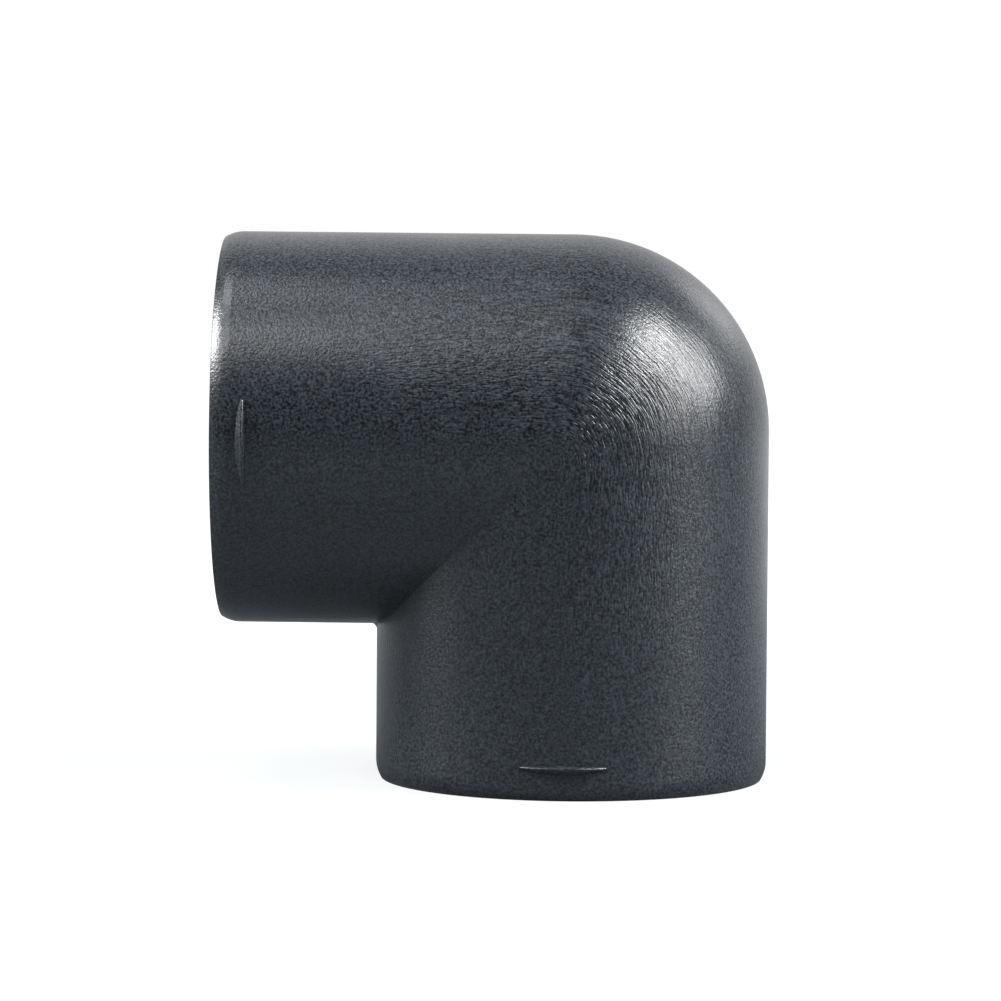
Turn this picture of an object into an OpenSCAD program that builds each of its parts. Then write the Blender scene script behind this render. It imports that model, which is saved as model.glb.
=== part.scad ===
// Air duct elbow, 90 degrees, moulded in one piece.
// Two equal round legs meet in a mitre on the inside of the bend and in a ball on the outside.
// Frame: origin at the centre of the lower mouth, in the plane that the elbow stands on.
// +Z runs up the lower leg, the side leg points to -X, and the mould opens along Y.

/* [Duct] */
// Outside diameter of both legs, which a hose slides over
duct_od = 75; // [60:0.5:90]
// Wall thickness, the same all round
wall = 2.5; // [2:0.1:4]
// From the crossing of the two leg axes to each mouth
leg_l = 67; // [60:0.5:100]

/* [Mouths] */
// Length of the rounded lead-in at the outside of each mouth
lead_l = 3.4; // [2:0.1:4]
// How far the lead-in has come in where it meets the mouth's face
lead_in = 1; // [0.6:0.1:1.2]
// Radius of the small outer corner between the lead-in and the mouth's face
lip_round = 0.2; // [0.1:0.1:0.5]
// Radius that breaks the inner edge of each mouth
inner_break = 0.4; // [0.1:0.1:0.4]

/* [Bend] */
// Radius of the fillet in the inner corner of the bend
corner_round = 1.6; // [0.8:0.1:2.5]

/* [Hose lugs] */
// From each mouth to the holding edge of its lugs
lug_set = 6.5; // [6:0.1:9]
// Width of a lug across the leg
lug_w = 16.2; // [10:0.2:22]
// Height of a lug at its middle
lug_h = 1.4; // [0.8:0.1:2.5]
// Height of a lug at its two ends
lug_end_h = 0.3; // [0.1:0.1:0.6]
// Slope of the ramp that a hose rides up, in degrees from the leg's surface
lug_ramp = 50; // [35:1:60]
// Lean of the holding edge, in degrees from straight across the leg
lug_draft = 12; // [2:1:15]
// Radius of the round along the crest, between the ramp and the holding edge
lug_round = 0.25; // [0.1:0.05:0.3]

/* [Hidden] */

$fn = 128;

plastic = "#3d444b";

duct_r = duct_od / 2;
bore_r = duct_r - wall;
// Radius of the arc that runs from the leg's side to the mouth's face
lead_r = (lead_l * lead_l + lead_in * lead_in) / (2 * lead_in);
// Direction, from the lead-in's centre and from the lip's own, in which the two arcs meet
lip_angle = asin((lead_l - lip_round) / (lead_r - lip_round));
lip_x = duct_r - lead_r + (lead_r - lip_round) * cos(lip_angle);

// Angle at which the fillet's arc meets each leg, which it crosses and doesn't just touch
corner_angle = 15;
// Place of the arc's centre from both legs, and how far the fillet's body lies inside them
corner_in = corner_round * cos(corner_angle);
corner_sink = corner_round / 2;
// The mitre's edge is an ellipse, which comes furthest from the crossing, crease_reach, in the inner
// corner and has a radius of half of that there. The fillet turns twice as tightly as the edge.
crease_reach = duct_r * sqrt(2);
corner_turn = crease_reach / 4;

// How far a cutting solid stands past what it cuts
past = 1;
// Longer than any part of the elbow from the crossing of its axes
reach = leg_l + duct_od;

// A lug's crest is an arc through its middle and its two ends, crest_y off the leg's axis
lug_end_y = sqrt(pow(duct_r + lug_end_h, 2) - pow(lug_w / 2, 2));
crest_rise = duct_r + lug_h - lug_end_y;
crest_r = (pow(lug_w / 2, 2) + pow(crest_rise, 2)) / (2 * crest_rise);
crest_y = duct_r + lug_h - crest_r;
// A lug runs on below the leg's surface, to the middle of the wall
lug_drop = lug_h + wall / 2;
// Where the crest's round meets the ramp and the holding edge, from the round's centre, and how far
// each of the two faces runs down from there
ramp_touch = lug_round * [cos(lug_ramp), -sin(lug_ramp)];
hold_touch = lug_round * [sin(lug_draft), cos(lug_draft)];
ramp_l = (ramp_touch[0] + lug_drop - lug_round) / sin(lug_ramp);
hold_l = (hold_touch[0] + lug_drop - lug_round) / cos(lug_draft);

// Half the section of a leg's outside, from the crossing at y = 0 to the mouth at y = leg_l
module leg_section() {
    square([duct_r, leg_l - lead_l]);
    difference() {
        intersection() {
            translate([duct_r - lead_r, leg_l - lead_l]) circle(r = lead_r);
            square([duct_r, leg_l]);
        }
        translate([lip_x, leg_l - lip_round]) lip_zone();
    }
    square([lip_x, leg_l]);
    translate([lip_x, leg_l - lip_round]) intersection() {
        lip_zone();
        circle(r = lip_round);
    }
}

// Where the mouth's small outer corner is rounded, about the centre of its round
module lip_zone() {
    side = 2 * lip_round;
    polygon([[0, 0], side * [cos(lip_angle), sin(lip_angle)], [side, side], [0, side]]);
}

// Half the section of the bore, which opens out past the mouth
module bore_section() {
    square([bore_r, leg_l + past]);
    translate([0, leg_l - inner_break]) difference() {
        square([bore_r + inner_break, inner_break + past]);
        translate([bore_r + inner_break, 0]) circle(r = inner_break);
    }
}

// The two legs of a bend, from their half section, and the ball of radius r at their crossing.
// On the inside of the bend the legs cross in a mitre, and on the outside the ball closes it.
module bend(r) {
    for (side = [0, 1]) mirror([side, 0, -side])
        rotate([180, 0, 0]) rotate_extrude() children();
    rotate_extrude() intersection() {
        circle(r = r);
        translate([0, -r]) square([r, 2 * r]);
    }
}

// The section of a lug, from the axis that its crest is turned about, with the holding edge facing up
module lug_section() {
    translate([crest_r - lug_round, -hold_touch[1]]) {
        polygon([[0, 0], ramp_touch, ramp_touch - ramp_l * [sin(lug_ramp), cos(lug_ramp)],
            hold_touch - hold_l * [cos(lug_draft), -sin(lug_draft)], hold_touch]);
        intersection() {
            polygon([[0, 0], 2 * ramp_touch, [3 * lug_round, 0], 2 * hold_touch]);
            circle(r = lug_round);
        }
    }
}

// One lug of the lower leg, on the side towards -Y, with its holding edge facing up
module lug() {
    intersection() {
        translate([0, -crest_y, 0]) rotate_extrude() lug_section();
        translate([-lug_w / 2, -duct_od, -reach]) cube([lug_w, duct_od - bore_r, 2 * reach]);
    }
}

// The fillet of the inner corner. It turns more tightly than the mitre's edge, so it sinks into the
// edge a little way to either side of the middle.
module corner_fillet() {
    rotate([0, 135, 0]) translate([crease_reach - corner_turn, 0, 0]) rotate([0, 0, -90])
        rotate_extrude(angle = 180) translate([corner_turn, 0]) rotate(-45) difference() {
            translate([-corner_sink, -corner_sink]) square(corner_sink + corner_in);
            translate([corner_in, corner_in]) circle(r = corner_round);
        }
}

module elbow_body() {
    color(plastic) translate([0, 0, leg_l])
        difference() {
            union() {
                bend(duct_r) leg_section();
                corner_fillet();
                for (side = [0, 1], face = [0, 1])
                    mirror([side, 0, -side]) mirror([0, face, 0])
                        translate([0, 0, lug_set - leg_l]) lug();
            }
            bend(bore_r) bore_section();
        }
}

elbow_body();
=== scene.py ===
# An air duct elbow of dark moulded plastic, standing on its lower mouth in a plain white studio.
# Lengths are in metres, in the part's own frame: the lower mouth's centre is the origin, +Z runs up
# the lower leg and the side leg points to -X.
import math

import bmesh
import bpy
from mathutils import Matrix, Vector


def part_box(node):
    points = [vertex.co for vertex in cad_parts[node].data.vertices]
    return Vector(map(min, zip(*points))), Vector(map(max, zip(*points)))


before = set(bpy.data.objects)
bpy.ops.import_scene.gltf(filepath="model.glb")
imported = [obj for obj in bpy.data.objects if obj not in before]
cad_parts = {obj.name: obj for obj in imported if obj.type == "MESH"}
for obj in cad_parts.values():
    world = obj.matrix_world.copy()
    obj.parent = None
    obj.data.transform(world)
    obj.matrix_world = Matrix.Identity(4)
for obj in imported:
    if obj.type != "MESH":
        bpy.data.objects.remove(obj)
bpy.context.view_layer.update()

MM = 0.001

# The elbow, as the frame gives it
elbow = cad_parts["elbow_body"]
low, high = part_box("elbow_body")
LEG_R = high.x
CROSSING = Vector((0, 0, high.z - LEG_R))
LEG_L = CROSSING.z

# The photograph's frame and where the camera stood, worked out from the outline
PHOTO_SIDE = 1001
CROSSING_PX = (573.43, 429.97)
LEG_R_PX = 195.56
CAMERA_AZIMUTH = 2.81
CAMERA_ELEVATION = 5.30
CAMERA_ROLL = 0.39
CAMERA_DISTANCE = 1.491
SENSOR = 36.0

# The studio. Every softbox is a square of SOFTBOX metres, SOFTBOX_AWAY from the crossing of the legs
SOFTBOX = 0.34
SOFTBOX_AWAY = 1.0
SOFTBOXES = {
    # name: azimuth, elevation and watts
    "left_key": (282, 38, 12.0),
    "left_front": (305, 40, 2.2),
    "left_low": (276, 10, 1.6),
    "left_top": (270, 70, 2.0),
    "front_high": (330, 55, 1.9),
    "right_key": (72, 45, 12.2),
    "right_side": (88, 25, 6.8),
    "right_front": (72, 25, 1.0),
    "right_low": (72, 10, 2.4),
    "back_right": (144, 25, 0.7),
}
AMBIENT = 0.01
BACKDROP = 0.86
FLOOR_R = 1.2
FLOOR_DROP = 0.05 * MM
FLOOR_GREY = "#6b7175"
FLOOR_WHITE = 0.79
# The floor turns wholly white between these distances from the elbow
FLOOR_FADE = (0.10, 0.30)

# The plastic's colour and the sizes of its grain, in millimetres
PLASTIC = "#272b30"
FLOW_POLE = (-2.9, 0.0, -3.1)
FLOW_BEND_R = 20.0
LINE_PITCH = 0.34
LINE_LENGTH = 3.4
LINE_RELIEF = 0.056
PEEL_PITCH = 0.5
PEEL_RELIEF = 0.06
WANDER = 1.2
# The cells of the lines are this much shorter on the legs than round the heel
LEG_CELLS = 1.8


def linear(hex_colour):
    """An sRGB hex colour as linear red, green, blue and alpha."""
    parts = [int(hex_colour[i:i + 2], 16) / 255 for i in (1, 3, 5)]
    return (*[c / 12.92 if c <= 0.04045 else ((c + 0.055) / 1.055) ** 2.4 for c in parts], 1.0)


def add(tree, kind, settings=None, inputs=None):
    """Adds a node of a kind, sets it up and gives each named input a value or another node's output."""
    node = tree.nodes.new(kind)
    for name, value in (settings or {}).items():
        setattr(node, name, value)
    for name, value in (inputs or {}).items():
        if isinstance(value, bpy.types.NodeSocket):
            tree.links.new(value, node.inputs[name])
        else:
            node.inputs[name].default_value = value
    return node


def direction(azimuth, elevation):
    """The unit vector to a place round the elbow. Azimuth 0 is in front, at -Y, and 90 is at +X."""
    a, e = math.radians(azimuth), math.radians(elevation)
    return Vector((math.sin(a) * math.cos(e), -math.cos(a) * math.cos(e), math.sin(e)))


def place_camera():
    """The camera at the photograph's angle, unshifted, with the legs' crossing where the photograph has it."""
    back = direction(CAMERA_AZIMUTH, CAMERA_ELEVATION)
    level = Vector((-back.y, back.x, 0)).normalized()
    upright = back.cross(level)
    roll = math.radians(CAMERA_ROLL)
    right = math.cos(roll) * level + math.sin(roll) * upright
    up = math.cos(roll) * upright - math.sin(roll) * level
    metre_px = LEG_R_PX / LEG_R
    aside, down = [(p - PHOTO_SIDE / 2) / metre_px for p in CROSSING_PX]
    eye = CROSSING - aside * right + down * up + CAMERA_DISTANCE * back
    data = bpy.data.cameras.new("camera")
    data.sensor_width = SENSOR
    data.lens = SENSOR * CAMERA_DISTANCE * metre_px / PHOTO_SIDE
    data.clip_end = 10 * CAMERA_DISTANCE
    camera = bpy.data.objects.new("camera", data)
    bpy.context.scene.collection.objects.link(camera)
    camera.matrix_world = Matrix.Translation(eye) @ Matrix((right, up, back)).transposed().to_4x4()
    bpy.context.scene.camera = camera


def place_softboxes():
    """The studio's lamps, each facing the crossing of the legs."""
    for name, (azimuth, elevation, watts) in SOFTBOXES.items():
        data = bpy.data.lights.new(name, "AREA")
        data.shape = "SQUARE"
        data.size = SOFTBOX
        data.energy = watts
        lamp = bpy.data.objects.new(name, data)
        bpy.context.scene.collection.objects.link(lamp)
        towards = direction(azimuth, elevation)
        lamp.matrix_world = (Matrix.Translation(CROSSING + SOFTBOX_AWAY * towards)
                             @ towards.to_track_quat("Z", "Y").to_matrix().to_4x4())


def make_world():
    """White where the camera looks, and where a reflection looks behind the elbow. Dim in every other way."""
    world = bpy.data.worlds.new("white_studio")
    bpy.context.scene.world = world
    world.use_nodes = True
    tree = world.node_tree
    tree.nodes.clear()
    path = add(tree, "ShaderNodeLightPath")
    place = add(tree, "ShaderNodeTexCoord")
    axes = add(tree, "ShaderNodeSeparateXYZ", None, {0: place.outputs["Generated"]})
    behind = add(tree, "ShaderNodeMapRange", {"interpolation_type": "SMOOTHSTEP"},
                 {"Value": axes.outputs["Y"], "From Min": 0.35, "From Max": 0.9, "To Max": BACKDROP})
    shiny = add(tree, "ShaderNodeMath", {"operation": "ADD"},
                {0: path.outputs["Is Glossy Ray"], 1: path.outputs["Is Transmission Ray"]})
    reflected = add(tree, "ShaderNodeMath", {"operation": "MULTIPLY"},
                    {0: shiny.outputs[0], 1: behind.outputs["Result"]})
    seen = add(tree, "ShaderNodeMath", {"operation": "ADD"},
               {0: path.outputs["Is Camera Ray"], 1: reflected.outputs[0]})
    strength = add(tree, "ShaderNodeMath", {"operation": "MAXIMUM"}, {0: seen.outputs[0], 1: AMBIENT})
    light = add(tree, "ShaderNodeBackground", None, {"Color": (1, 1, 1, 1), "Strength": strength.outputs[0]})
    add(tree, "ShaderNodeOutputWorld", None, {"Surface": light.outputs[0]})


def make_floor():
    """A pale floor that holds the elbow's soft shadow and is white to the camera."""
    material = bpy.data.materials.new("white_paper_sweep")
    material.use_nodes = True
    tree = material.node_tree
    tree.nodes.clear()
    path = add(tree, "ShaderNodeLightPath")
    place = add(tree, "ShaderNodeTexCoord")
    away = add(tree, "ShaderNodeVectorMath", {"operation": "LENGTH"}, {0: place.outputs["Object"]})
    axes = add(tree, "ShaderNodeSeparateXYZ", None, {0: place.outputs["Object"]})
    paper = add(tree, "ShaderNodeMapRange", {"interpolation_type": "SMOOTHSTEP"},
                {"Value": away.outputs["Value"], "From Min": FLOOR_FADE[0], "From Max": FLOOR_FADE[1],
                 "To Min": FLOOR_WHITE, "To Max": 1.0})
    behind = add(tree, "ShaderNodeMapRange", {"interpolation_type": "SMOOTHSTEP"},
                 {"Value": axes.outputs["Y"], "From Min": 0.1, "From Max": 0.6, "To Max": BACKDROP})
    shiny = add(tree, "ShaderNodeMath", {"operation": "ADD"},
                {0: path.outputs["Is Glossy Ray"], 1: path.outputs["Is Transmission Ray"]})
    reflected = add(tree, "ShaderNodeMath", {"operation": "MULTIPLY"},
                    {0: shiny.outputs[0], 1: behind.outputs["Result"]})
    seen = add(tree, "ShaderNodeMath", {"operation": "ADD"},
               {0: path.outputs["Is Camera Ray"], 1: reflected.outputs[0]})
    strength = add(tree, "ShaderNodeMath", {"operation": "MULTIPLY"},
                   {0: seen.outputs[0], 1: paper.outputs["Result"]})
    glow = add(tree, "ShaderNodeEmission", None, {"Color": (1, 1, 1, 1), "Strength": strength.outputs[0]})
    matt = add(tree, "ShaderNodeBsdfDiffuse", None, {"Color": linear(FLOOR_GREY)})
    both = add(tree, "ShaderNodeAddShader", None, {0: matt.outputs[0], 1: glow.outputs[0]})
    add(tree, "ShaderNodeOutputMaterial", None, {"Surface": both.outputs[0]})
    shape = bmesh.new()
    bmesh.ops.create_circle(shape, cap_ends=True, segments=96, radius=FLOOR_R)
    bmesh.ops.translate(shape, verts=shape.verts, vec=(0, 0, -FLOOR_DROP))
    mesh = bpy.data.meshes.new("floor")
    shape.to_mesh(mesh)
    shape.free()
    floor = bpy.data.objects.new("floor", mesh)
    bpy.context.scene.collection.objects.link(floor)
    mesh.materials.append(material)


def moulded_plastic():
    """Black-grey polypropylene, injection moulded in a lightly polished mould: satin, with flow lines round
    the bend that break up its highlights, and a fine orange peel everywhere."""
    material = bpy.data.materials.new("injection_moulded_polypropylene")
    material.use_nodes = True
    tree = material.node_tree
    tree.nodes.clear()

    # Place on the elbow in millimetres from the pole that the flow lines run round
    place = add(tree, "ShaderNodeTexCoord")
    start = [-(c / MM + f) for c, f in zip(CROSSING, FLOW_POLE)]
    point = add(tree, "ShaderNodeMapping", None,
                {"Vector": place.outputs["Object"], "Location": start, "Scale": [1 / MM] * 3})
    axes = add(tree, "ShaderNodeSeparateXYZ", None, {0: point.outputs[0]})
    x, y, z = axes.outputs

    # Both legs are alike: the smaller of x and z runs along a leg and the larger one across it
    along = add(tree, "ShaderNodeMath", {"operation": "MINIMUM"}, {0: x, 1: z})
    across = add(tree, "ShaderNodeMath", {"operation": "MAXIMUM"}, {0: x, 1: z})
    along_heel = add(tree, "ShaderNodeMath", {"operation": "MAXIMUM"}, {0: along.outputs[0], 1: 0.0})
    along_leg = add(tree, "ShaderNodeMath", {"operation": "MINIMUM"}, {0: along.outputs[0], 1: 0.0})
    across_out = add(tree, "ShaderNodeMath", {"operation": "MAXIMUM"}, {0: across.outputs[0], 1: 0.01})
    across_in = add(tree, "ShaderNodeMath", {"operation": "MINIMUM"}, {0: across.outputs[0], 1: 0.0})
    heel = add(tree, "ShaderNodeCombineXYZ", None, {"X": along_heel.outputs[0], "Y": across_out.outputs[0]})
    heel_r = add(tree, "ShaderNodeVectorMath", {"operation": "LENGTH"}, {0: heel.outputs[0]})
    from_pole = add(tree, "ShaderNodeMath", {"operation": "ADD"}, {0: heel_r.outputs["Value"], 1: across_in.outputs[0]})
    depth = add(tree, "ShaderNodeMath", {"operation": "ABSOLUTE"}, {0: y})
    round_leg = add(tree, "ShaderNodeMath", {"operation": "ARCTAN2"}, {0: from_pole.outputs[0], 1: depth.outputs[0]})
    line = add(tree, "ShaderNodeMath", {"operation": "MULTIPLY"}, {0: round_leg.outputs[0], 1: LEG_R / MM})

    # How far along its line a place is, from the middle of the heel: negative on the side leg
    heel_less = add(tree, "ShaderNodeMath", {"operation": "SUBTRACT"}, {0: across_out.outputs[0], 1: along_heel.outputs[0]})
    heel_more = add(tree, "ShaderNodeMath", {"operation": "ADD"}, {0: across_out.outputs[0], 1: along_heel.outputs[0]})
    turn = add(tree, "ShaderNodeMath", {"operation": "ARCTAN2"}, {0: heel_less.outputs[0], 1: heel_more.outputs[0]})
    arc = add(tree, "ShaderNodeMath", {"operation": "MULTIPLY"}, {0: turn.outputs[0], 1: FLOW_BEND_R})
    run = add(tree, "ShaderNodeMath", {"operation": "MULTIPLY_ADD"},
              {0: along_leg.outputs[0], 1: -LEG_CELLS, 2: arc.outputs[0]})
    tilt = add(tree, "ShaderNodeMath", {"operation": "SUBTRACT"}, {0: x, 1: z})
    leg = add(tree, "ShaderNodeMath", {"operation": "SIGN"}, {0: tilt.outputs[0]})
    length = add(tree, "ShaderNodeMath", {"operation": "MULTIPLY"}, {0: run.outputs[0], 1: leg.outputs[0]})

    # Flow lines: long thin cells of noise that wander a little
    flow = add(tree, "ShaderNodeCombineXYZ", None, {"X": line.outputs[0], "Y": length.outputs[0], "Z": y})
    wander = add(tree, "ShaderNodeTexNoise", None, {"Vector": point.outputs[0], "Scale": 1 / 6, "Detail": 1.0})
    wander_by = add(tree, "ShaderNodeVectorMath", {"operation": "MULTIPLY_ADD"},
                    {0: wander.outputs["Color"], 1: (WANDER, WANDER, 0.0), 2: flow.outputs[0]})
    cells = add(tree, "ShaderNodeVectorMath", {"operation": "MULTIPLY"},
                {0: wander_by.outputs[0], 1: (1 / LINE_PITCH, 1 / LINE_LENGTH, 0.02)})
    lines = add(tree, "ShaderNodeTexNoise", None,
                {"Vector": cells.outputs[0], "Scale": 1.0, "Detail": 1.0, "Roughness": 0.5})
    peel = add(tree, "ShaderNodeTexNoise", None,
               {"Vector": point.outputs[0], "Scale": 1 / PEEL_PITCH, "Detail": 1.0, "Roughness": 0.5})
    patches = add(tree, "ShaderNodeTexNoise", None, {"Vector": point.outputs[0], "Scale": 1 / 18, "Detail": 2.0})

    # The lines are strongest beside the pole and round the heel, and die out towards the mouths and the inner corner
    inner = add(tree, "ShaderNodeMapRange", {"interpolation_type": "SMOOTHSTEP"},
                {"Value": line.outputs[0], "From Min": -2.0, "From Max": 7.0, "To Min": 0.1, "To Max": 1.0})
    outer = add(tree, "ShaderNodeMapRange", {"interpolation_type": "SMOOTHSTEP"},
                {"Value": line.outputs[0], "From Min": 20.0, "From Max": 45.0, "To Min": 1.0, "To Max": 0.3})
    mouths = add(tree, "ShaderNodeMapRange", {"interpolation_type": "SMOOTHSTEP"},
                 {"Value": run.outputs[0], "From Min": 20.0, "From Max": 110.0, "To Min": 1.0, "To Max": 0.15})
    patchy = add(tree, "ShaderNodeMapRange", None,
                 {"Value": patches.outputs["Fac"], "From Min": 0.35, "From Max": 0.65, "To Min": 0.5, "To Max": 1.2})
    band = add(tree, "ShaderNodeMath", {"operation": "MULTIPLY"}, {0: inner.outputs[0], 1: outer.outputs[0]})
    band_end = add(tree, "ShaderNodeMath", {"operation": "MULTIPLY"}, {0: band.outputs[0], 1: mouths.outputs[0]})
    weight = add(tree, "ShaderNodeMath", {"operation": "MULTIPLY"}, {0: band_end.outputs[0], 1: patchy.outputs[0]})
    ridge = add(tree, "ShaderNodeMapRange", {"interpolation_type": "SMOOTHSTEP"},
                {"Value": lines.outputs["Fac"], "From Min": 0.33, "From Max": 0.67, "To Min": -0.5, "To Max": 0.5})
    lines_high = add(tree, "ShaderNodeMath", {"operation": "MULTIPLY"}, {0: ridge.outputs[0], 1: weight.outputs[0]})

    # Relief, in metres once the bump node has scaled it
    lines_m = add(tree, "ShaderNodeMath", {"operation": "MULTIPLY"}, {0: lines_high.outputs[0], 1: LINE_RELIEF * MM})
    relief = add(tree, "ShaderNodeMath", {"operation": "MULTIPLY_ADD"},
                 {0: peel.outputs["Fac"], 1: PEEL_RELIEF * MM, 2: lines_m.outputs[0]})
    bump = add(tree, "ShaderNodeBump", None, {"Strength": 1.0, "Distance": 1.0, "Height": relief.outputs[0]})

    # Painted shade: the base colour is darkened in the grooves between the flow lines and in the pits of the orange
    # peel, and lightened on the ridges, standing in for the shade and light that the relief holds
    pits = add(tree, "ShaderNodeMath", {"operation": "SUBTRACT"}, {0: peel.outputs["Fac"], 1: 0.5})
    painted_pit_shade = add(tree, "ShaderNodeMath", {"operation": "MULTIPLY_ADD"}, {0: pits.outputs[0], 1: 4.8, 2: 1.0})
    painted_shade = add(tree, "ShaderNodeMath", {"operation": "MULTIPLY_ADD"},
                {0: lines_high.outputs[0], 1: 1.3, 2: painted_pit_shade.outputs[0]})
    painted_shade_floor = add(tree, "ShaderNodeMath", {"operation": "MAXIMUM"}, {0: painted_shade.outputs[0], 1: 0.15})
    # The plastic's colour times the painted shade of the grooves, pits and ridges
    colour = add(tree, "ShaderNodeVectorMath", {"operation": "SCALE"},
                 {0: linear(PLASTIC)[:3], "Scale": painted_shade_floor.outputs[0]})
    rough = add(tree, "ShaderNodeMapRange", None,
                {"Value": patches.outputs["Fac"], "From Min": 0.3, "From Max": 0.7, "To Min": 0.27, "To Max": 0.33})
    plastic = add(tree, "ShaderNodeBsdfPrincipled", None,
                  {"Base Color": colour.outputs[0], "Roughness": rough.outputs[0], "IOR": 1.5,
                   "Specular IOR Level": 0.63, "Normal": bump.outputs[0]})
    add(tree, "ShaderNodeOutputMaterial", None, {"Surface": plastic.outputs[0]})
    return material


place_camera()
place_softboxes()
make_world()
make_floor()

elbow.data.materials.clear()
elbow.data.materials.append(moulded_plastic())

bpy.context.scene.view_settings.view_transform = "Standard"
